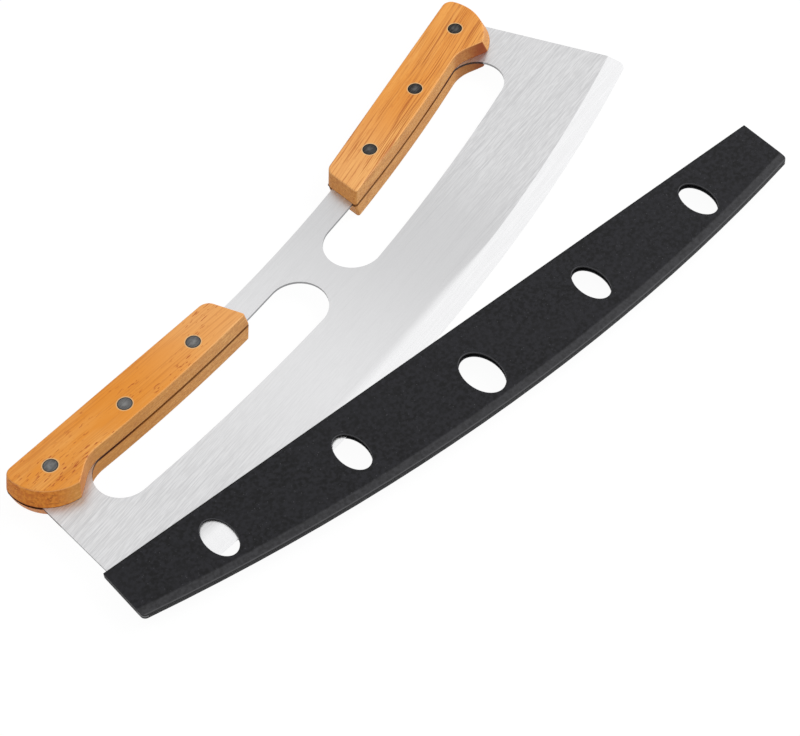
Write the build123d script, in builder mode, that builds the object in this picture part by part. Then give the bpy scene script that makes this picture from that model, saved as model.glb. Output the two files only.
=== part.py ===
from build123d import *
from math import cos, radians, sin, sqrt
import os

os.makedirs("parts", exist_ok=True)

# A two-handled rocking knife lying flat, with its edge cover half off.
# The origin is the middle of the neck between the finger slots, on the sheet's back face.
# X runs along the blade, Y towards the handles and Z up through the steel sheet.
# Outlines give heights above the heel line, where the blade is widest.

# Blade sheet
blade_length = 355.6
blade_thickness = 1.2
edge_drop = 27.8
edge_corner_drop = 10.2
blade_corner_radius = 4.5
bevel_width = 9.6
edge_thickness = 0.3
spine_margin = 3.9
spine_rise = 1.3
end_lean_share = 0.229

# Finger slots: each lies between the neck in the middle and the rim at the blade's end
neck_width = 14.4
slot_setback = 33.0
slot_inner_run = 12.8
slot_outer_run_low = 11.3
slot_outer_run_high = 14.8
slot_low_inner = 20.0
slot_low_rise = 9.9
slot_low_bow = 1.65
slot_inner_width = 27.8
slot_high_rise = 8.3
slot_high_bow = 1.75

# Handle scales: outline against the steel
scale_thickness = 7.9
handle_gap = 79.0
handle_setback = 10.9
handle_low_drop = 1.7
handle_low_rise = 9.8
handle_low_bow = 1.25
handle_inner_depth = 18.9
handle_top_rise = 16.5
inner_end_lean = 3.5
outer_end_radius = 21.9
outer_end_dip = 0.8
tip_setback = 15.7
tip_drop = 4.4
hook_run = 8.7
brow_run = 11.5
brow_drop = 2.0
tang_recess = 0.8

# Handle scales: how the two ends draw in towards the outer face, and the roundings
inner_end_draft = 1.6
outer_end_draft = 2.6
outer_face_radius = 23.2
outer_face_dip = 0.1
outer_top_radius = 4.5
inner_top_radius = 5.5
inner_low_radius = 1.2
tip_radius = 1.0
scale_edge_radius = 0.8

# Rivets: a post half from the front and a sleeve half from the back
rivet_head_radius = 3.35
rivet_head_depth = 1.5
rivet_sleeve_radius = 2.3
rivet_post_radius = 1.45
rivet_clearance = 0.05
rivet_end_gap = 0.8
rivet_inner_inset = 26.0
rivet_outer_inset = 17.7
rivet_inner_rise = 8.2
rivet_outer_rise = 7.4

# Edge cover: its outline is written as it sits when fully on the blade
cover_mouth_height = 15.3
cover_wall = 0.9
cover_side_clearance = 0.2
cover_floor_wall = 1.5
cover_floor_clearance = 0.8
cover_end_wall = 1.1
cover_end_clearance = 1.4
cover_corner_radius = 2.5
cover_bevel_width = 4.2
cover_bevel_depth = 0.35
groove_width = 0.8
groove_depth = 0.5
groove_end_gap = 2.3

# Cover's five oval windows, their drops measured from the mouth
outer_oval_inset = 43.4
middle_oval_width = 16.4
middle_oval_height = 24.9
middle_oval_drop = 26.4
oval_width = 13.2
oval_height = 21.3
inner_oval_drop = 21.2
outer_oval_drop = 17.9
oval_rim = 0.25

# The cover has swung down, in degrees, about a point near the blade's left end
cover_swing = 15.2
swing_inset = 7.8

# How far outlines and cuts run past what they trim
overrun = 40.0

# Places that follow from the sizes above
half_length = blade_length / 2
edge_sag = edge_drop - edge_corner_drop
edge_radius = (half_length**2 + edge_sag**2) / (2 * edge_sag)
edge_centre = edge_radius - edge_drop
front_face = blade_thickness + scale_thickness
back_face = -scale_thickness
slot_low_outer = slot_low_inner + slot_low_rise
slot_low_middle = slot_low_inner + slot_low_rise / 2 - slot_low_bow
slot_high_inner = slot_low_inner + slot_inner_width
slot_high_outer = slot_high_inner + slot_high_rise
slot_high_middle = slot_high_inner + slot_high_rise / 2 - slot_high_bow
spine_height = slot_high_outer + spine_margin
neck_height = (slot_low_inner + slot_high_inner) / 2
sheet = Plane((0, -neck_height, 0))
slot_inner = neck_width / 2
slot_outer = half_length - slot_setback
slot_start = slot_inner + slot_inner_run
slot_end_low = slot_outer - slot_outer_run_low
slot_end_high = slot_outer - slot_outer_run_high
handle_inner = handle_gap / 2
handle_outer = half_length - handle_setback
handle_waist = handle_outer - tip_setback - hook_run
handle_crest = handle_waist - brow_run
handle_low_inner = slot_high_inner - handle_low_drop
handle_low_outer = handle_low_inner + handle_low_rise
handle_low_middle = handle_low_inner + handle_low_rise / 2 - handle_low_bow
handle_top_inner = handle_low_inner + handle_inner_depth
handle_top_outer = handle_top_inner + handle_top_rise
waist_height = handle_low_outer - brow_drop
tip_height = waist_height - tip_drop
outer_end_height = tip_height - outer_end_dip + outer_end_radius
outer_face_height = tip_height - outer_face_dip + outer_face_radius
handle_slope = (handle_top_outer - handle_top_inner) / (handle_outer - handle_inner)
slot_side_points = (
    (handle_inner, handle_low_inner),
    ((handle_inner + handle_crest) / 2, handle_low_middle),
    (handle_crest, handle_low_outer),
)


def spine_side(x):
    """Height of the handle's straight upper side at x."""
    return handle_top_inner + handle_slope * (x - handle_inner)


def rivet_place(x, rise):
    """Centre of a rivet at x, so far above the arc of the handle's slot side."""
    curve = ThreePointArc(*slot_side_points, mode=Mode.PRIVATE)
    centre = curve.arc_center
    return (x, centre.Y - sqrt(curve.radius**2 - (x - centre.X) ** 2) + rise)


rivet_inner = handle_inner + rivet_inner_inset
rivet_outer = handle_outer - rivet_outer_inset
rivet_places = {
    "inner": rivet_place(rivet_inner, rivet_inner_rise),
    "middle": rivet_place(
        (rivet_inner + rivet_outer) / 2, (rivet_inner_rise + rivet_outer_rise) / 2
    ),
    "outer": rivet_place(rivet_outer, rivet_outer_rise),
}
rivet_hole_radius = rivet_sleeve_radius + rivet_clearance
rivet_grip = front_face - back_face - 2 * rivet_head_depth


def side_outline():
    """The right handle's long sides seen from above, running on past both ends."""
    left = handle_inner - overrun
    right = handle_outer + overrun
    with BuildSketch() as outline:
        with BuildLine():
            slot_side = ThreePointArc(*slot_side_points)
            waist = (handle_waist, waist_height)
            brow = TangentArc(slot_side @ 1, waist, tangent=slot_side % 1)
            tip = (handle_outer - tip_setback, tip_height)
            hook = TangentArc(brow @ 1, tip, tangent=brow % 1)
            Polyline(
                hook @ 1,
                (right, tip_height),
                (right, spine_side(right)),
                (left, spine_side(left)),
                (left, handle_low_inner),
                slot_side @ 0,
            )
        make_face()
    return outline.sketch


def end_outline(inner_draft, reach, radius, height):
    """The right handle's two ends seen from above, running on past both long sides."""
    lean_share = inner_end_lean / (handle_top_inner - handle_low_inner)
    foot = handle_inner + inner_draft
    low = handle_low_inner - overrun
    high = handle_top_outer + overrun
    centre = reach - radius
    with BuildSketch() as outline:
        with BuildLine():
            Polyline(
                (centre, height + radius),
                (centre, high),
                (foot + lean_share * (high - handle_low_inner), high),
                (foot + lean_share * (low - handle_low_inner), low),
                (centre, low),
                (centre, height - radius),
            )
            ThreePointArc((centre, height - radius), (reach, height), (centre, height + radius))
        make_face()
    return outline.sketch


def bevel_rim(plane, rim_centre, rim_radius, width, depth, bottom, top):
    """Bevel both faces along a curved rim, whose centre is rim_centre up the plane's Y axis."""
    side_plane = Plane(plane.origin, x_dir=plane.y_dir, z_dir=plane.x_dir)
    rim = rim_centre + rim_radius
    with BuildSketch(side_plane) as profile:
        for face, outward in ((bottom, -1), (top, 1)):
            with BuildLine():
                Polyline(
                    (rim - width, face),
                    (rim, face - outward * depth),
                    (rim + overrun, face - outward * depth),
                    (rim + overrun, face + outward * overrun),
                    (rim - width, face + outward * overrun),
                    close=True,
                )
            make_face()
    turning_axis = Axis(plane.from_local_coords((0, rim_centre, 0)), plane.z_dir)
    revolve(profile.sketch, axis=turning_axis, mode=Mode.SUBTRACT)


# Outline of the tang that carries the right handle, a little inside the wood
with BuildSketch() as tang:
    add(side_outline())
    add(end_outline(0, handle_outer, outer_end_radius, outer_end_height), mode=Mode.INTERSECT)
    offset(amount=-tang_recess, mode=Mode.REPLACE)

# Outline of the right finger slot: two round ends joined by two shallow arcs
with BuildSketch() as slot:
    with BuildLine():
        inner_end = ThreePointArc(
            (slot_start, slot_high_inner),
            (slot_inner, neck_height),
            (slot_start, slot_low_inner),
        )
        low_side = ThreePointArc(
            inner_end @ 1,
            ((slot_start + slot_end_low) / 2, slot_low_middle),
            (slot_end_low, slot_low_outer),
        )
        outer_end = ThreePointArc(
            low_side @ 1,
            (slot_outer, (slot_low_outer + slot_high_outer) / 2),
            (slot_end_high, slot_high_outer),
        )
        ThreePointArc(
            outer_end @ 1,
            ((slot_start + slot_end_high) / 2, slot_high_middle),
            inner_end @ 0,
        )
    make_face()

# Blade with both tangs, one flat sheet bevelled on both faces along its cutting edge
shoulder = handle_inner + inner_end_lean
with BuildPart() as blade:
    with BuildSketch(sheet):
        with BuildLine():
            ThreePointArc(
                (-half_length, -edge_corner_drop),
                (0, -edge_drop),
                (half_length, -edge_corner_drop),
            )
            ThreePointArc(
                (-shoulder, spine_height + spine_rise),
                (0, spine_height),
                (shoulder, spine_height + spine_rise),
            )
            for side in (-1, 1):
                Polyline(
                    (side * half_length, -edge_corner_drop),
                    (side * half_length, 0),
                    (side * (half_length - end_lean_share * spine_height), spine_height),
                    (side * shoulder, spine_height + spine_rise),
                )
        make_face()
        add(tang.sketch)
        mirror(tang.sketch, about=Plane.YZ)
        add(slot.sketch, mode=Mode.SUBTRACT)
        mirror(slot.sketch, about=Plane.YZ, mode=Mode.SUBTRACT)
        for x, y in rivet_places.values():
            with Locations((x, y), (-x, y)):
                Circle(rivet_hole_radius, mode=Mode.SUBTRACT)
    extrude(amount=blade_thickness)
    fillet(blade.edges().filter_by(Axis.Z).group_by(Axis.Y)[0], blade_corner_radius)
    bevel_depth = (blade_thickness - edge_thickness) / 2
    bevel_rim(sheet, edge_centre, edge_radius, bevel_width, bevel_depth, 0, blade_thickness)
blade.part.label = "blade"
export_step(blade.part, "parts/blade.step")


def make_handle_scale(name, on_left, on_back):
    """One wooden scale: the right front shape, mirrored for the left and for the back."""
    with BuildPart() as scale:
        with BuildSketch(sheet.offset(blade_thickness)):
            add(side_outline())
        extrude(amount=scale_thickness)
        with BuildSketch(sheet.offset(blade_thickness)):
            add(end_outline(0, handle_outer, outer_end_radius, outer_end_height))
        with BuildSketch(sheet.offset(front_face)):
            reach = handle_outer - outer_end_draft
            add(end_outline(inner_end_draft, reach, outer_face_radius, outer_face_height))
        loft(ruled=True, mode=Mode.INTERSECT)

        fillet(scale.edges().sort_by(Axis.Y)[-1], outer_top_radius)
        inner_end_edges = scale.faces().sort_by(Axis.X)[0].edges().sort_by(Axis.Y)
        fillet(inner_end_edges[-1], inner_top_radius)
        inner_end_edges = scale.faces().sort_by(Axis.X)[0].edges().sort_by(Axis.Y)
        fillet(inner_end_edges[0], inner_low_radius)
        tip = (handle_outer - tip_setback, tip_height, front_face - scale_thickness / 2)
        fillet(scale.edges().sort_by_distance(sheet.from_local_coords(tip))[0], tip_radius)
        fillet(scale.faces().sort_by(Axis.Z)[-1].edges(), scale_edge_radius)

        with Locations(sheet.offset(front_face)):
            with Locations(*rivet_places.values()):
                CounterBoreHole(
                    radius=rivet_hole_radius,
                    counter_bore_radius=rivet_head_radius + rivet_clearance,
                    counter_bore_depth=rivet_head_depth,
                    depth=scale_thickness + overrun,
                )
        if on_left:
            mirror(about=Plane.YZ, mode=Mode.REPLACE)
        if on_back:
            mirror(about=Plane.XY.offset(blade_thickness / 2), mode=Mode.REPLACE)
    scale.part.label = name
    export_step(scale.part, f"parts/{name}.step")


def make_rivet_post(name, place):
    """Front half of a rivet: a flush head and the post that enters the sleeve."""
    with BuildPart() as post:
        with BuildSketch(sheet.offset(front_face)):
            with Locations(place):
                Circle(rivet_head_radius)
        extrude(amount=-rivet_head_depth)
        with BuildSketch(sheet.offset(front_face - rivet_head_depth)):
            with Locations(place):
                Circle(rivet_post_radius)
        extrude(amount=rivet_end_gap - rivet_grip)
    post.part.label = name
    export_step(post.part, f"parts/{name}.step")


def make_rivet_sleeve(name, place):
    """Back half of a rivet: a flush head and the sleeve that passes through the tang."""
    with BuildPart() as sleeve:
        with BuildSketch(sheet.offset(back_face)):
            with Locations(place):
                Circle(rivet_head_radius)
        extrude(amount=rivet_head_depth)
        with BuildSketch(sheet.offset(back_face + rivet_head_depth)):
            with Locations(place):
                Circle(rivet_sleeve_radius)
                Circle(rivet_post_radius + rivet_clearance, mode=Mode.SUBTRACT)
        extrude(amount=rivet_grip - rivet_end_gap)
    sleeve.part.label = name
    export_step(sleeve.part, f"parts/{name}.step")


for side_name, side in (("left", -1), ("right", 1)):
    make_handle_scale(f"{side_name}_front_handle_scale", side < 0, False)
    make_handle_scale(f"{side_name}_back_handle_scale", side < 0, True)
    for place_name, (x, y) in rivet_places.items():
        rivet_name = f"{side_name}_{place_name}_rivet"
        make_rivet_post(f"{rivet_name}_post", (side * x, y))
        make_rivet_sleeve(f"{rivet_name}_sleeve", (side * x, y))

# Edge cover: its plane is the blade's middle plane, swung down about the left end
cover_thickness = blade_thickness + 2 * (cover_side_clearance + cover_wall)
pocket_thickness = blade_thickness + 2 * cover_side_clearance
pocket_half_length = half_length + cover_end_clearance
cover_half_length = pocket_half_length + cover_end_wall
pocket_floor_radius = edge_radius + cover_floor_clearance
cover_floor_radius = pocket_floor_radius + cover_floor_wall
oval_pitch = (half_length - outer_oval_inset) / 2
swing = radians(cover_swing)
swing_x = swing_inset - half_length
cover_plane = Plane(
    origin=(
        swing_x * (1 - cos(swing)),
        swing_x * sin(swing) - neck_height,
        blade_thickness / 2,
    ),
    x_dir=(cos(swing), -sin(swing), 0),
    z_dir=(0, 0, 1),
)


def cover_outline(reach, floor_radius, top):
    """Straight mouth, square ends and a floor with the same centre as the cutting edge."""
    corner = edge_centre - sqrt(floor_radius**2 - reach**2)
    with BuildSketch() as outline:
        with BuildLine():
            ThreePointArc((-reach, corner), (0, edge_centre - floor_radius), (reach, corner))
            Polyline((reach, corner), (reach, top), (-reach, top), (-reach, corner))
        make_face()
    return outline.sketch


with BuildPart() as cover:
    with BuildSketch(cover_plane) as shell:
        add(cover_outline(cover_half_length, cover_floor_radius, cover_mouth_height))
        fillet(shell.vertices().group_by(Axis.Y)[0], cover_corner_radius)
    extrude(amount=cover_thickness / 2, both=True)
    bevel_rim(
        cover_plane,
        edge_centre,
        cover_floor_radius,
        cover_bevel_width,
        cover_bevel_depth,
        -cover_thickness / 2,
        cover_thickness / 2,
    )

    with BuildSketch(cover_plane) as pocket:
        add(cover_outline(pocket_half_length, pocket_floor_radius, cover_mouth_height + overrun))
        fillet(pocket.vertices().group_by(Axis.Y)[0], cover_corner_radius - cover_end_wall)
    extrude(amount=pocket_thickness / 2, both=True, mode=Mode.SUBTRACT)

    with BuildSketch(cover_plane):
        with Locations((0, cover_mouth_height - middle_oval_drop)):
            Ellipse(middle_oval_width / 2, middle_oval_height / 2)
        for step, drop in ((1, inner_oval_drop), (2, outer_oval_drop)):
            height = cover_mouth_height - drop
            with Locations((step * oval_pitch, height), (-step * oval_pitch, height)):
                Ellipse(oval_width / 2, oval_height / 2)
    extrude(amount=cover_thickness, both=True, mode=Mode.SUBTRACT)
    oval_edges = cover.edges().filter_by(lambda edge: edge.is_closed).group_by(Axis.Z)
    chamfer(oval_edges[0] + oval_edges[-1], oval_rim)

    groove_reach = cover_half_length - groove_end_gap
    with BuildSketch(cover_plane):
        add(cover_outline(groove_reach, cover_floor_radius + overrun, cover_mouth_height))
        kept_outline = cover_outline(
            cover_half_length, cover_floor_radius - groove_depth, cover_mouth_height
        )
        add(kept_outline, mode=Mode.SUBTRACT)
    extrude(amount=groove_width / 2, both=True, mode=Mode.SUBTRACT)
cover.part.label = "edge_cover"
export_step(cover.part, "parts/edge_cover.step")
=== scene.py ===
import math

import bpy
from mathutils import Matrix, Vector


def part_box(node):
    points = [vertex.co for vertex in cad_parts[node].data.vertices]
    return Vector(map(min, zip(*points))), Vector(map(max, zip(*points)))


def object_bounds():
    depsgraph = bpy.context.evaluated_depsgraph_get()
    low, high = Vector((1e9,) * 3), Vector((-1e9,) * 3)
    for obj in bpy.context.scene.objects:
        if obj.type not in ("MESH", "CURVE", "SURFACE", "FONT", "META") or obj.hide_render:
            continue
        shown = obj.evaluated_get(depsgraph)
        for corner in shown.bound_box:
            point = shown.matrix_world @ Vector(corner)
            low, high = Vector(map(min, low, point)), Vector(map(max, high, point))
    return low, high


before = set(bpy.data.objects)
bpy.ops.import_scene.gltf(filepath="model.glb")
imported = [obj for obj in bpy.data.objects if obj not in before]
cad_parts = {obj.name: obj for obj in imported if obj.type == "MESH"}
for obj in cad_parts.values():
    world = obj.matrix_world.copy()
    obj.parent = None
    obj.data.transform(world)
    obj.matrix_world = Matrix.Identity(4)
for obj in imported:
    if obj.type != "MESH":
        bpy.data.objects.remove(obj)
cad_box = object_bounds()

# Camera: it stands above the blade's left end and looks down on the knife as it lies.
# The lens is long, so the far handle is nearly as large as the near one.
camera_lens = bpy.data.cameras.new("camera")
camera_lens.lens = 114.3
camera_lens.sensor_width = 36.0
camera = bpy.data.objects.new("camera", camera_lens)
camera_right = Vector((0.57396, -0.81610, -0.06747))
camera_up = Vector((0.67158, 0.42197, 0.60903))
camera_turn = Matrix((camera_right, camera_up, camera_right.cross(camera_up))).transposed()
camera_place = Vector((-0.533456, -0.486135, 0.858742))
camera.matrix_world = Matrix.Translation(camera_place) @ camera_turn.to_4x4()
bpy.context.scene.collection.objects.link(camera)
bpy.context.scene.camera = camera
bpy.context.scene.view_settings.view_transform = "Standard"


# Table and light: the knife lies on its handle backs on a white table, under an even white sky.
# One wide lamp past the cover's far end lights the sides that face the cutting edge and the right.
sky_level = 0.68
lamp_place = Vector((0.95, -0.75, 1.1))
lamp_width = 1.1
lamp_power = 13.0
table_reach = 9.0
table_gap = 0.0001
table_white = 0.07
table_bounce = 0.42
table_seen = 1.02


def place(tree, kind, feeds=None, **settings):
    """Add a node to a tree. Feeds name its inputs, each with a value or with another node's output."""
    node = tree.nodes.new(kind)
    for name, value in settings.items():
        setattr(node, name, value)
    for name, feed in (feeds or {}).items():
        if isinstance(feed, bpy.types.NodeSocket):
            tree.links.new(feed, node.inputs[name])
        else:
            node.inputs[name].default_value = feed
    return node


def count(tree, operation, first, second=0.0, third=0.0):
    """One sum on numbers."""
    node = place(tree, "ShaderNodeMath", {0: first, 1: second, 2: third}, operation=operation)
    return node.outputs[0]


def backdrop_level(tree, shown, on_object):
    """How bright the backdrop is where it is seen, also in metal or glass, and how it lights."""
    path = place(tree, "ShaderNodeLightPath").outputs
    straight = count(tree, "MAXIMUM", path["Is Camera Ray"], path["Is Glossy Ray"])
    seen_at_all = count(tree, "MAXIMUM", straight, path["Is Transmission Ray"])
    return count(tree, "MULTIPLY_ADD", seen_at_all, shown - on_object, on_object)


sky = bpy.data.worlds.new("sky")
sky.use_nodes = True
tree = sky.node_tree
tree.nodes.clear()
sky_feeds = {"Color": (1.0, 1.0, 1.0, 1.0), "Strength": backdrop_level(tree, 1.0, sky_level)}
sky_light = place(tree, "ShaderNodeBackground", sky_feeds)
place(tree, "ShaderNodeOutputWorld", {"Surface": sky_light.outputs[0]})
bpy.context.scene.world = sky

lamp_light = bpy.data.lights.new("lamp", "AREA")
lamp_light.shape = "DISK"
lamp_light.size = lamp_width
lamp_light.energy = lamp_power
lamp = bpy.data.objects.new("lamp", lamp_light)
lamp_turn = lamp_place.to_track_quat("Z", "Y").to_matrix().to_4x4()
lamp.matrix_world = Matrix.Translation(lamp_place) @ lamp_turn
bpy.context.scene.collection.objects.link(lamp)

table_level = cad_box[0].z - table_gap
table_corners = [
    (x * table_reach, y * table_reach, table_level) for x, y in ((-1, -1), (1, -1), (1, 1), (-1, 1))
]
table_mesh = bpy.data.meshes.new("table")
table_mesh.from_pydata(table_corners, [], [(0, 1, 2, 3)])
table = bpy.data.objects.new("table", table_mesh)
bpy.context.scene.collection.objects.link(table)
table_finish = bpy.data.materials.new("table_white")
table_finish.use_nodes = True
tree = table_finish.node_tree
tree.nodes.clear()
table_paint = place(tree, "ShaderNodeBsdfDiffuse", {"Color": (*[table_white] * 3, 1.0)})
table_strength = backdrop_level(tree, table_seen - table_white, table_bounce)
table_glow = place(tree, "ShaderNodeEmission", {"Strength": table_strength})
table_sum = place(tree, "ShaderNodeAddShader", {0: table_paint.outputs[0], 1: table_glow.outputs[0]})
place(tree, "ShaderNodeOutputMaterial", {"Surface": table_sum.outputs[0]})
table_mesh.materials.append(table_finish)


# Blade: one sheet of light stainless steel, brushed lengthwise, with two finger slots cut through.
# Its curved cutting edge is ground on both faces to a band that is painted paler, for its finish
# and as a painted reflection. The bar along its top runs on into the handles, where the steel's
# sides in the seam between the scales are painted dark brown as painted shade.
def seen(red, green, blue):
    """A colour as the eye reads it, 0 to 255, turned into the light that a shader takes."""
    shares = [level / 255 for level in (red, green, blue)]
    light = [s / 12.92 if s <= 0.04045 else ((s + 0.055) / 1.055) ** 2.4 for s in shares]
    return (*light, 1.0)


sheet_low, sheet_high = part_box("blade")
sheet_middle = (sheet_low.z + sheet_high.z) / 2
edge_arc_radius = 0.90689
edge_arc_centre = (0.0, sheet_low.y + edge_arc_radius)
ground_width = 0.0096
ground_line = (-0.0001, 0.0003)
handle_start = 0.0405
handle_side_height = 0.0068
handle_side_slope = 0.106
hook_start = 0.12
hook_side_height = 0.0135

# Stretches along X, in metres, over which a finish comes in or goes out
brushing_to_left = (-0.14, -0.05)
brushing_to_right = (0.01, 0.09)
shaded_from = (-0.05, 0.04)
shaded_to = (0.05, 0.1)
soft_ground_until = (0.01, 0.065)
soft_ground_width = 0.005

steel_light = seen(225, 225, 226)
steel_deep = seen(216, 216, 217)
steel_grit = seen(194, 194, 195)
steel_shaded = seen(200, 200, 201)
steel_line = seen(176, 176, 178)
# The ground band: paler for its finish, and as a painted reflection
steel_ground_and_sheen = seen(240, 240, 241)
steel_ground_deep_and_sheen = seen(234, 234, 235)
# Painted shade: on the cut sides, and dark brown in the seam and in the hook's seam
steel_cut_and_shade = seen(126, 126, 128)
seam_shade = seen(98, 50, 24)
hook_seam_shade = seen(44, 22, 14)

# Sizes of the marks along X, Y and Z, in metres
brushing_size = (0.02, 0.0007, 0.003)
grit_size = (0.006, 0.0005, 0.004)
ground_mark_size = (0.0008, 0.016, 0.016)
ground_mark_turn = -0.35
scratch_rarity = 0.6
scratch_share = 0.3


def new_finish(name):
    """A bare material: its node tree and the one shader that all its nodes feed."""
    finish = bpy.data.materials.new(name)
    finish.use_nodes = True
    tree = finish.node_tree
    tree.nodes.clear()
    shader = place(tree, "ShaderNodeBsdfPrincipled")
    place(tree, "ShaderNodeOutputMaterial", {"Surface": shader.outputs[0]})
    return finish, tree, shader


def new_group(name, inputs, outputs):
    """A bare node group with its own sockets: its tree, its inputs and its output node."""
    group = bpy.data.node_groups.new(name, "ShaderNodeTree")
    for side, sockets in (("INPUT", inputs), ("OUTPUT", outputs)):
        for socket, kind in sockets:
            group.interface.new_socket(socket, in_out=side, socket_type="NodeSocket" + kind)
    return group, place(group, "NodeGroupInput").outputs, place(group, "NodeGroupOutput")


def axes_of(tree, spot):
    """The X, Y and Z of a place or of a direction."""
    return place(tree, "ShaderNodeSeparateXYZ", {0: spot}).outputs


def reach_from(tree, spot, point):
    """How far a place lies from the upright line through a point."""
    flat = place(tree, "ShaderNodeVectorMath", {0: spot, 1: (1.0, 1.0, 0.0)}, operation="MULTIPLY")
    ends = {0: flat.outputs[0], 1: (*point, 0.0)}
    return place(tree, "ShaderNodeVectorMath", ends, operation="DISTANCE").outputs["Value"]


def stretched_noise(tree, spot, size, turn=0.0, detail=3.0):
    """Cloudy noise whose grains have this size along X, Y and Z, in metres, turned about Z."""
    feeds = {"Vector": spot, "Rotation": (0.0, 0.0, turn), "Scale": size}
    mapping = place(tree, "ShaderNodeMapping", feeds, vector_type="TEXTURE")
    feeds = {"Vector": mapping.outputs[0], "Scale": 1.0, "Detail": detail, "Roughness": 0.55}
    return place(tree, "ShaderNodeTexNoise", feeds).outputs[0]


def ramp(tree, value, low, high, start=0.0, end=1.0):
    """Start below low, end above high and a smooth step between."""
    feeds = {"Value": value, "From Min": low, "From Max": high, "To Min": start, "To Max": end}
    node = place(tree, "ShaderNodeMapRange", feeds, interpolation_type="SMOOTHSTEP")
    return node.outputs["Result"]


def overlap(tree, *masks):
    """Masks and shares multiplied, so that each holds only inside the others."""
    product = masks[0]
    for mask in masks[1:]:
        product = count(tree, "MULTIPLY", product, mask)
    return product


def blend(tree, share, first, second):
    """First colour where share is 0, second where it is 1."""
    node = place(tree, "ShaderNodeMix", {0: share, 6: first, 7: second}, data_type="RGBA")
    return node.outputs[2]


def roughen(tree, shader, height, strength, depth):
    """Let a height, 0 to 1, stand in the surface as fine relief of this depth, in metres."""
    feeds = {"Strength": strength, "Distance": depth, "Height": height}
    bump = place(tree, "ShaderNodeBump", feeds)
    tree.links.new(bump.outputs[0], shader.inputs["Normal"])


def dress(finish, *names):
    """Give whole nodes of the frame this finish."""
    for name in names:
        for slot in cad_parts[name].material_slots:
            slot.material = finish


# Hairlines: thin separate scratches, some centimetres long and well under a millimetre wide
hairline_softness = 0.09
hairlines, fed, group_out = new_group(
    "hairlines", [("Place", "Vector"), ("Rarity", "Float")], [("Mask", "Float")]
)
fully_dark = count(hairlines, "ADD", fed["Rarity"], hairline_softness)
hairline_mask = 0.0
for turn, length, width in ((0.0, 0.12, 0.0007), (0.04, 0.09, 0.0006), (-0.03, 0.07, 0.0007)):
    lines = stretched_noise(hairlines, fed["Place"], (length, width, width), turn, detail=1.0)
    lines = ramp(hairlines, lines, fed["Rarity"], fully_dark)
    hairline_mask = count(hairlines, "MAXIMUM", lines, hairline_mask)
hairlines.links.new(hairline_mask, group_out.inputs["Mask"])

steel, tree, shader = new_finish("brushed_steel")
spot = place(tree, "ShaderNodeTexCoord").outputs
axes = axes_of(tree, spot["Object"])
side_x = count(tree, "ABSOLUTE", axes["X"])

# The brushing shows most towards the two ends, and the middle is painted a little darker as painted
# shade
worked_right = ramp(tree, axes["X"], *brushing_to_right, 0.2, 1.0)
worked_left = ramp(tree, axes["X"], *brushing_to_left, 0.85, 0.2)
worked = count(tree, "MAXIMUM", worked_right, worked_left)
brushing = stretched_noise(tree, spot["Object"], brushing_size)
brushed_share = overlap(tree, ramp(tree, brushing, 0.3, 0.7), worked)
steel_color = blend(tree, brushed_share, steel_light, steel_deep)
grit = stretched_noise(tree, spot["Object"], grit_size, detail=2.0)
grit_share = overlap(tree, ramp(tree, grit, 0.4, 0.6, 0.0, 0.5), worked)
steel_color = blend(tree, grit_share, steel_color, steel_grit)
shaded_left = ramp(tree, axes["X"], *shaded_from, 0.0, 0.75)
shaded_right = ramp(tree, axes["X"], *shaded_to, 0.75, 0.1)
shaded = count(tree, "MINIMUM", shaded_left, shaded_right)
steel_color = blend(tree, shaded, steel_color, steel_shaded)
scratch_feeds = {"Place": spot["Object"], "Rarity": scratch_rarity}
scratches = place(tree, "ShaderNodeGroup", scratch_feeds, node_tree=hairlines).outputs["Mask"]
scratched = overlap(tree, scratches, scratch_share, worked)
steel_color = blend(tree, scratched, steel_color, steel_line)

# The ground band along the edge starts sharply at the right end and softly at the left.
# It is painted paler, for its ground finish and as a painted reflection
arc_reach = reach_from(tree, spot["Object"], edge_arc_centre)
ground_start = edge_arc_radius - ground_width
softness = ramp(tree, axes["X"], *soft_ground_until, soft_ground_width, 0.0)
ground_from = count(tree, "SUBTRACT", ground_start + ground_line[0], softness)
ground = ramp(tree, arc_reach, ground_from, ground_start + ground_line[1])
ground_marks = stretched_noise(tree, spot["Object"], ground_mark_size, ground_mark_turn)
ground_marks = ramp(tree, ground_marks, 0.35, 0.65, 0.0, 0.25)
ground_and_sheen_color = blend(tree, ground_marks, steel_ground_and_sheen, steel_ground_deep_and_sheen)
steel_color = blend(tree, ground, steel_color, ground_and_sheen_color)

# The sheet's cut sides are duller and darkened as painted shade, and inside the handles
# they are painted dark brown as painted shade in the seam
flatness = count(tree, "ABSOLUTE", axes_of(tree, spot["Normal"])["Z"])
upright = count(tree, "LESS_THAN", flatness, 0.5)
cut_face = overlap(tree, upright, count(tree, "MULTIPLY_ADD", ground, -0.85, 0.85))
steel_color = blend(tree, cut_face, steel_color, steel_cut_and_shade)
above_side = count(tree, "MULTIPLY_ADD", side_x, -handle_side_slope, axes["Y"])
in_handle = overlap(
    tree,
    count(tree, "GREATER_THAN", above_side, handle_side_height),
    count(tree, "GREATER_THAN", side_x, handle_start),
)
in_hook = overlap(
    tree,
    count(tree, "GREATER_THAN", axes["Y"], hook_side_height),
    count(tree, "GREATER_THAN", side_x, hook_start),
)
in_seam = overlap(tree, upright, count(tree, "MAXIMUM", in_handle, in_hook))
seam_shade_color = blend(tree, in_hook, seam_shade, hook_seam_shade)
steel_color = blend(tree, in_seam, steel_color, seam_shade_color)
tree.links.new(steel_color, shader.inputs["Base Color"])
tree.links.new(count(tree, "SUBTRACT", 1.0, in_seam), shader.inputs["Metallic"])
steel_rough = ramp(tree, brushing, 0.3, 0.7, 0.3, 0.42)
steel_rough = count(tree, "MULTIPLY_ADD", ground, -0.06, steel_rough)
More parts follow.
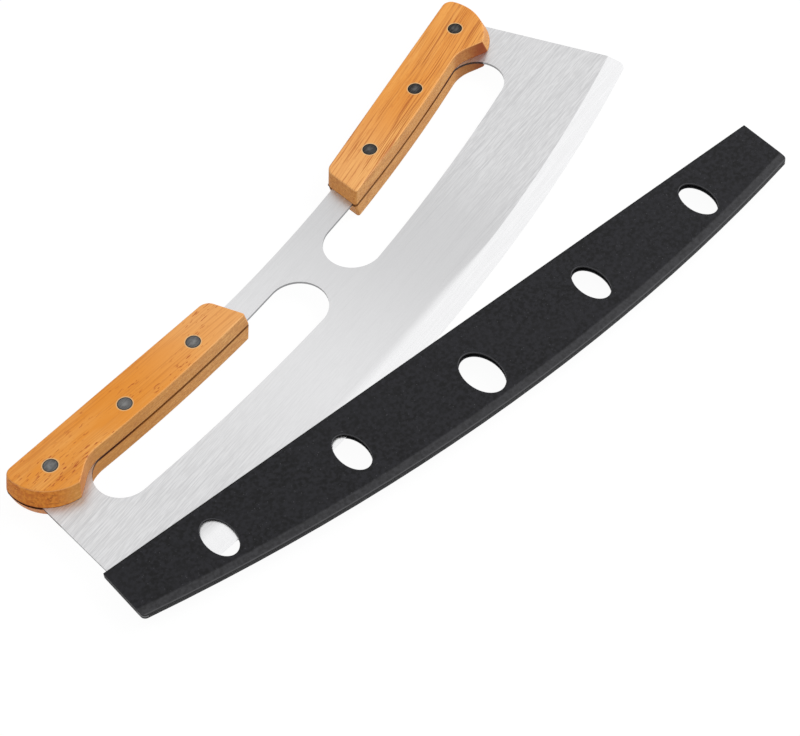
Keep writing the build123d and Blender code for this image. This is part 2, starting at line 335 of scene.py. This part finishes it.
steel_rough = count(tree, "MULTIPLY_ADD", in_seam, 0.4, steel_rough)
tree.links.new(steel_rough, shader.inputs["Roughness"])
steel_height = count(tree, "MULTIPLY_ADD", scratches, -0.8, brushing)
roughen(tree, shader, steel_height, strength=0.35, depth=0.00002)
dress(steel, "blade")


# Handles: four hardwood scales, two to a handle, cut to shape, clamped on the tangs and sanded.
# The wood is warm orange-tan with dark lengthwise streaks and short red flecks, under a thin
# satin oil. Sawn sides and end grain are duller, and the inside of the hook is browned.
grain_turn = 0.129
fleck_turn = 0.06
sway_scale = 9.0
sway_reach = (0.0, 0.005, 0.005)
rivet_places = {}
for row in ("inner", "middle", "outer"):
    low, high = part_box(f"right_{row}_rivet_post")
    rivet_places[row] = low.lerp(high, 0.5).to_2d()
rivet_radius = (high.x - low.x) / 2
rivet_ring_edge = (rivet_radius + 0.00015, rivet_radius + 0.00075)
seam_half = 0.00075
seam_stain_edge = (0.0009, 0.0013)
seam_raggedness = 0.0006
hook_top = 0.027

# Stretches along X from the knife's middle, in metres, over which a finish comes in or goes out
bleached_until = (0.045, 0.105)
aged_from = (0.06, 0.13)
dark_gap_from = (0.1, 0.125)
browned_from = (0.128, 0.133)
browned_more_from = (0.14, 0.148)

wood_pale = seen(247, 181, 98)
wood_tan = seen(233, 155, 70)
wood_fibre = seen(208, 124, 46)
wood_orange = seen(230, 142, 36)
wood_bleached = seen(248, 194, 132)
wood_streak = seen(170, 86, 22)
wood_fleck = seen(172, 76, 20)
sawn_pale = seen(230, 174, 106)
sawn_tan = seen(208, 146, 82)
sawn_dark = seen(184, 124, 66)
sawn_aged = seen(176, 120, 40)
end_pale = seen(238, 146, 44)
end_dark = seen(212, 112, 22)
end_fleck = seen(140, 52, 14)
# A painted highlight for rounded edges
wood_edge_highlight = seen(250, 206, 148)
rivet_ring = seen(232, 196, 146)
# Seam stain, also used as painted shade inside the gap
seam_stain_and_shade_brown = seen(80, 32, 14)
hook_brown = seen(146, 56, 2)

# Sizes of the marks along X, Y and Z, in metres
figure_size = (0.16, 0.011, 0.011)
fibre_size = (0.028, 0.0008, 0.0008)
cloud_size = (0.06, 0.016, 0.016)
streak_size = (0.03, 0.00048, 0.002)
streak_zone_size = (0.07, 0.007, 0.011)
fleck_size = (0.0038, 0.0008, 0.0014)
fleck_zone_size = (0.03, 0.009, 0.011)
sawn_line_size = (0.016, 0.0008, 0.0008)
sawn_grit_size = (0.0014, 0.0008, 0.0008)
end_speckle_size = (0.0022, 0.0014, 0.0014)
end_fleck_size = (0.002, 0.0024, 0.0009)
sawn_share = 0.75
sawn_age_share = 0.4

wood_grain, fed, group_out = new_group(
    "wood_grain",
    [("Place", "Vector"), ("Normal", "Vector"), ("Shift", "Vector")]
    + [("Streaks", "Float"), ("Flecks", "Float"), ("Warmth", "Float"), ("Browning", "Float")],
    [("Color", "Color"), ("Roughness", "Float"), ("Height", "Float")],
)
tree = wood_grain
axes = axes_of(tree, fed["Place"])
side_x = count(tree, "ABSOLUTE", axes["X"])
side_feeds = {0: side_x, 1: axes["Y"], 2: axes["Z"]}
side_spot = place(tree, "ShaderNodeCombineXYZ", side_feeds).outputs[0]
own_feeds = {0: side_spot, 1: fed["Shift"]}
own_spot = place(tree, "ShaderNodeVectorMath", own_feeds, operation="ADD").outputs[0]
sway_feeds = {"Vector": own_spot, "Scale": sway_scale, "Detail": 1.0}
sway = place(tree, "ShaderNodeTexNoise", sway_feeds).outputs["Color"]
swayed_feeds = {0: sway, 1: sway_reach, 2: own_spot}
swayed = place(tree, "ShaderNodeVectorMath", swayed_feeds, operation="MULTIPLY_ADD").outputs[0]

# Broad faces: growth rings, fine fibre, warm clouds and a bleached inner end
figure = stretched_noise(tree, swayed, figure_size, grain_turn)
fibre = stretched_noise(tree, swayed, fibre_size, grain_turn, detail=4.0)
cloud = stretched_noise(tree, own_spot, cloud_size, grain_turn)
wood = blend(tree, ramp(tree, figure, 0.34, 0.66), wood_pale, wood_tan)
wood = blend(tree, ramp(tree, fibre, 0.34, 0.66, 0.0, 0.5), wood, wood_fibre)
clouded = overlap(tree, ramp(tree, cloud, 0.36, 0.6, 0.3, 1.0), fed["Warmth"])
wood = blend(tree, clouded, wood, wood_orange)
wood = blend(tree, ramp(tree, side_x, *bleached_until, 0.4, 0.0), wood, wood_bleached)

# Dark streaks and red flecks, each in its own patches
streak_lines = stretched_noise(tree, swayed, streak_size, grain_turn, detail=1.0)
streak_zone = stretched_noise(tree, own_spot, streak_zone_size, grain_turn)
streak_zone = ramp(tree, streak_zone, 0.34, 0.56)
streaks = overlap(tree, ramp(tree, streak_lines, 0.5, 0.62), streak_zone, fed["Streaks"])
wood = blend(tree, streaks, wood, wood_streak)
fleck_marks = stretched_noise(tree, swayed, fleck_size, fleck_turn, detail=1.0)
fleck_zone = stretched_noise(tree, own_spot, fleck_zone_size, grain_turn)
fleck_zone = ramp(tree, fleck_zone, 0.4, 0.56)
flecks = overlap(tree, ramp(tree, fleck_marks, 0.6, 0.68), fleck_zone, fed["Flecks"])
wood = blend(tree, flecks, wood, wood_fleck)

# Sawn sides: fine saw lines and grit, darker with age towards the hook
facing = axes_of(tree, fed["Normal"])
flatness = count(tree, "ABSOLUTE", facing["Z"])
sawn = ramp(tree, flatness, 0.25, 0.75, 1.0, 0.0)
sawn_lines = stretched_noise(tree, own_spot, sawn_line_size, grain_turn)
sawn_color = blend(tree, ramp(tree, sawn_lines, 0.38, 0.62), sawn_pale, sawn_tan)
sawn_grit = stretched_noise(tree, own_spot, sawn_grit_size, detail=2.0)
sawn_color = blend(tree, ramp(tree, sawn_grit, 0.42, 0.62, 0.0, 0.6), sawn_color, sawn_dark)
sawn_age = overlap(tree, ramp(tree, side_x, *aged_from), fed["Warmth"], sawn_age_share)
sawn_color = blend(tree, sawn_age, sawn_color, sawn_aged)
wood = blend(tree, overlap(tree, sawn, sawn_share), wood, sawn_color)

# End grain: speckled, with dark cut pores
end_grain = ramp(tree, count(tree, "ABSOLUTE", facing["X"]), 0.3, 0.8)
speckle = stretched_noise(tree, own_spot, end_speckle_size, detail=2.0)
end_color = blend(tree, ramp(tree, speckle, 0.38, 0.62), end_pale, end_dark)
wood = blend(tree, overlap(tree, end_grain, fed["Warmth"]), wood, end_color)
end_flecks = stretched_noise(tree, own_spot, end_fleck_size, detail=1.0)
end_flecks = ramp(tree, end_flecks, 0.6, 0.68, 0.0, 0.6)
end_flecks = overlap(tree, end_flecks, end_grain, fed["Warmth"])
wood = blend(tree, end_flecks, wood, end_fleck)

# Rounded edges carry a painted highlight, and the wood round each rivet is painted paler in a thin
# ring
edge_from = ramp(tree, flatness, 0.35, 0.6)
edge_to = ramp(tree, flatness, 0.75, 0.95, 0.22, 0.0)
wood = blend(tree, overlap(tree, edge_from, edge_to), wood, wood_edge_highlight)
rivet_reach = 1.0
for rivet_place in rivet_places.values():
    rivet_reach = count(tree, "MINIMUM", reach_from(tree, side_spot, rivet_place), rivet_reach)
wood = blend(tree, ramp(tree, rivet_reach, *rivet_ring_edge, 0.75, 0.0), wood, rivet_ring)

# The seam between two scales is stained where they meet the steel, and the faces inside the gap are
# darkened as painted shade
off_middle = count(tree, "ABSOLUTE", count(tree, "SUBTRACT", axes["Z"], sheet_middle))
in_gap = count(tree, "LESS_THAN", off_middle, seam_half)
in_gap = overlap(tree, in_gap, ramp(tree, side_x, *dark_gap_from, 0.7, 0.95))
ragged = count(tree, "MULTIPLY_ADD", fibre, seam_raggedness, off_middle)
seam_stain = overlap(tree, ramp(tree, ragged, *seam_stain_edge, 0.5, 0.0), sawn)
wood = blend(tree, count(tree, "MAXIMUM", seam_stain, in_gap), wood, seam_stain_and_shade_brown)

# The hook's inside is painted dark brown, more so towards the hook's end
hook_inner = ramp(tree, side_x, *browned_from, 0.0, 0.45)
hook_outer = ramp(tree, side_x, *browned_more_from, 0.0, 0.55)
outward = count(tree, "MULTIPLY", facing["X"], count(tree, "SIGN", axes["X"]))
hook = overlap(
    tree,
    count(tree, "ADD", hook_inner, hook_outer),
    ramp(tree, outward, -0.1, 0.15, 1.0, 0.0),
    sawn,
    count(tree, "LESS_THAN", axes["Y"], hook_top),
    fed["Browning"],
)
wood = blend(tree, hook, wood, hook_brown)
tree.links.new(wood, group_out.inputs["Color"])
wood_rough = count(tree, "MULTIPLY_ADD", fibre, 0.16, 0.38)
wood_rough = count(tree, "MULTIPLY_ADD", sawn, 0.12, wood_rough)
tree.links.new(wood_rough, group_out.inputs["Roughness"])
pores = count(tree, "MAXIMUM", streaks, flecks)
wood_height = count(tree, "MULTIPLY_ADD", pores, -0.7, fibre)
tree.links.new(wood_height, group_out.inputs["Height"])

# Each scale is cut from its own piece of wood
for name, shift, streak_share, fleck_share, warmth, browning in (
    ("left_front_handle_scale", (0.31, 0.045, 0.02), 0.25, 0.85, 0.8, 0.35),
    ("left_back_handle_scale", (0.93, 0.16, 0.31), 0.3, 0.5, 0.8, 0.35),
    ("right_front_handle_scale", (1.74, 0.23, 0.12), 0.75, 0.2, 0.3, 0.9),
    ("right_back_handle_scale", (2.41, 0.37, 0.43), 0.6, 0.3, 0.3, 0.8),
):
    scale_wood, tree, shader = new_finish(name + "_wood")
    spot = place(tree, "ShaderNodeTexCoord").outputs
    grain_feeds = {
        "Place": spot["Object"],
        "Normal": spot["Normal"],
        "Shift": shift,
        "Streaks": streak_share,
        "Flecks": fleck_share,
        "Warmth": warmth,
        "Browning": browning,
    }
    grain = place(tree, "ShaderNodeGroup", grain_feeds, node_tree=wood_grain).outputs
    tree.links.new(grain["Color"], shader.inputs["Base Color"])
    tree.links.new(grain["Roughness"], shader.inputs["Roughness"])
    shader.inputs["Specular IOR Level"].default_value = 0.25
    shader.inputs["Coat Weight"].default_value = 0.06
    shader.inputs["Coat Roughness"].default_value = 0.3
    roughen(tree, shader, grain["Height"], strength=0.5, depth=0.00008)
    dress(scale_wood, name)


# Rivets: a post half from the front and a sleeve half from the back, pressed together and
# ground flush with the wood. The dark metal is scuffed, with a painted reflection as a paler patch
# in the middle and painted shade on the rim. The left rivets are painted lighter than the right
# ones, as a painted reflection.
# A painted shade for the rim
rivet_rim_shade = seen(24, 23, 23)
rivet_patch_size = (0.0019, 0.0016, 0.003)
rivet_middle_edge = (0.0004, 0.0026)
rivet_rim_edge = (rivet_radius - 0.00065, rivet_radius - 0.00015)
scuff_rarity = 0.52
scuff_share = 0.3

# Each side's rivets are painted as lit: the left ones lighter, as a painted reflection
for side, turned, rivet_dark, rivet_pale in (
    ("left", -1, seen(92, 91, 91), seen(132, 132, 131)),
    ("right", 1, seen(50, 48, 47), seen(98, 97, 96)),
):
    for row, (rivet_x, rivet_y) in rivet_places.items():
        rivet = f"{side}_{row}_rivet"
        rivet_metal, tree, shader = new_finish(rivet + "_metal")
        spot = place(tree, "ShaderNodeTexCoord").outputs
        reach = reach_from(tree, spot["Object"], (turned * rivet_x, rivet_y))
        patches = stretched_noise(tree, spot["Object"], rivet_patch_size)
        scuff_feeds = {"Place": spot["Object"], "Rarity": scuff_rarity}
        scuffs = place(tree, "ShaderNodeGroup", scuff_feeds, node_tree=hairlines).outputs["Mask"]
        middle = ramp(tree, reach, *rivet_middle_edge, 1.0, 0.0)
        middle = overlap(tree, middle, ramp(tree, patches, 0.3, 0.65))
        color = blend(tree, middle, rivet_dark, rivet_pale)
        color = blend(tree, overlap(tree, scuffs, scuff_share), color, rivet_pale)
        color = blend(tree, ramp(tree, reach, *rivet_rim_edge, 0.0, 0.7), color, rivet_rim_shade)
        tree.links.new(color, shader.inputs["Base Color"])
        shader.inputs["Metallic"].default_value = 1.0
        tree.links.new(ramp(tree, patches, 0.3, 0.7, 0.34, 0.5), shader.inputs["Roughness"])
        roughen(tree, shader, patches, strength=0.3, depth=0.00003)
        dress(rivet_metal, rivet + "_post", rivet + "_sleeve")


# Edge cover: one moulding of matt black plastic with a fine, slightly mottled grain.
# Its curved side is bevelled, and that band and the rims of the five windows carry a painted sheen.
rim_arc_centre = (0.22454, 0.76987)
rim_arc_radius = 0.90919
band_width = 0.0042
band_softness = 0.0006
band_end_edge = (-0.0008, -0.0004)
cover_turn = math.radians(15.2)
mouth_direction = (math.sin(cover_turn), math.cos(cover_turn), 0.0)
mouth_line = -0.06239
lip_edge = (-0.0003, 0.0001)
groove_edge = (0.00035, 0.0006)

plastic_black = seen(5, 5, 7)
plastic_grey = seen(32, 32, 36)
plastic_cloud = seen(30, 30, 34)
plastic_speck = seen(104, 104, 108)
# The next five colours paint light and shade: sheen on the band, a highlight along its end, sheen on
# the window rims, shade on upright sides and a highlight in the groove
band_sheen_grey = seen(76, 76, 78)
band_end_highlight_grey = seen(104, 104, 106)
window_rim_sheen_grey = seen(96, 96, 100)
side_shade_black = seen(9, 9, 10)
groove_highlight_grey = seen(124, 124, 126)

# Sizes of the marks, in metres, and how many specks fit in a metre
mottle_size = (0.0018, 0.0018, 0.0018)
plastic_cloud_size = (0.02, 0.02, 0.02)
speck_zone_size = (0.002, 0.002, 0.002)
plastic_grain_size = (0.0006, 0.0006, 0.0006)
specks_per_metre = 900.0
speck_share = 0.5
band_end_share = 0.4
window_rim_share = 0.5
side_share = 0.85

plastic, tree, shader = new_finish("cover_plastic")
spot = place(tree, "ShaderNodeTexCoord").outputs
flatness = count(tree, "ABSOLUTE", axes_of(tree, spot["Normal"])["Z"])
level = count(tree, "GREATER_THAN", flatness, 0.9)
slanted = count(tree, "GREATER_THAN", flatness, 0.4)
slanted = overlap(tree, slanted, count(tree, "LESS_THAN", flatness, 0.9))
upright = count(tree, "LESS_THAN", flatness, 0.4)

# The moulded surface: mottle, soft clouds and a few pale specks
mottle = stretched_noise(tree, spot["Object"], mottle_size, detail=4.0)
cloud = stretched_noise(tree, spot["Object"], plastic_cloud_size, detail=2.0)
plastic_color = blend(tree, ramp(tree, mottle, 0.35, 0.65), plastic_black, plastic_grey)
plastic_color = blend(tree, ramp(tree, cloud, 0.4, 0.7, 0.0, 0.3), plastic_color, plastic_cloud)
speck_feeds = {"Vector": spot["Object"], "Scale": specks_per_metre}
specks = place(tree, "ShaderNodeTexVoronoi", speck_feeds).outputs["Distance"]
specks = ramp(tree, specks, 0.1, 0.22, 1.0, 0.0)
speck_zone = stretched_noise(tree, spot["Object"], speck_zone_size)
speck_zone = ramp(tree, speck_zone, 0.52, 0.64)
specks = overlap(tree, specks, speck_zone, speck_share)
plastic_color = blend(tree, specks, plastic_color, plastic_speck)

# Painted sheen on the band, a painted highlight along its outer end, and painted sheen on the window
# rims
rim_reach = reach_from(tree, spot["Object"], rim_arc_centre)
band_start = rim_arc_radius - band_width
band = ramp(tree, rim_reach, band_start - band_softness, band_start + band_softness)
sheen_on_band = overlap(tree, band, level, ramp(tree, mottle, 0.3, 0.7, 0.3, 0.5))
plastic_color = blend(tree, sheen_on_band, plastic_color, band_sheen_grey)
band_end_low, band_end_high = (rim_arc_radius + offset for offset in band_end_edge)
band_end = ramp(tree, rim_reach, band_end_low, band_end_high)
band_end = overlap(tree, band_end, level, band_end_share)
plastic_color = blend(tree, band_end, plastic_color, band_end_highlight_grey)
window_rims = overlap(tree, slanted, window_rim_share)
plastic_color = blend(tree, window_rims, plastic_color, window_rim_sheen_grey)

# Upright sides carry painted shade and the mouth's lip a painted shadow, and the groove along
# the narrow face shows a pale painted highlight
mouth_feeds = {0: spot["Object"], 1: mouth_direction}
mouth_reach = place(tree, "ShaderNodeVectorMath", mouth_feeds, operation="DOT_PRODUCT")
lip_low, lip_high = (mouth_line + offset for offset in lip_edge)
lip = ramp(tree, mouth_reach.outputs["Value"], lip_low, lip_high)
shade = count(tree, "MAXIMUM", overlap(tree, upright, side_share), lip)
plastic_color = blend(tree, shade, plastic_color, side_shade_black)
height = axes_of(tree, spot["Object"])["Z"]
off_middle = count(tree, "ABSOLUTE", count(tree, "SUBTRACT", height, sheet_middle))
groove = overlap(tree, ramp(tree, off_middle, *groove_edge, 1.0, 0.0), upright, band)
plastic_color = blend(tree, groove, plastic_color, groove_highlight_grey)
tree.links.new(plastic_color, shader.inputs["Base Color"])
shader.inputs["Specular IOR Level"].default_value = 0.2
tree.links.new(ramp(tree, mottle, 0.3, 0.7, 0.5, 0.64), shader.inputs["Roughness"])
plastic_grain = stretched_noise(tree, spot["Object"], plastic_grain_size, detail=2.0)
roughen(tree, shader, plastic_grain, strength=0.5, depth=0.00006)
dress(plastic, "edge_cover")
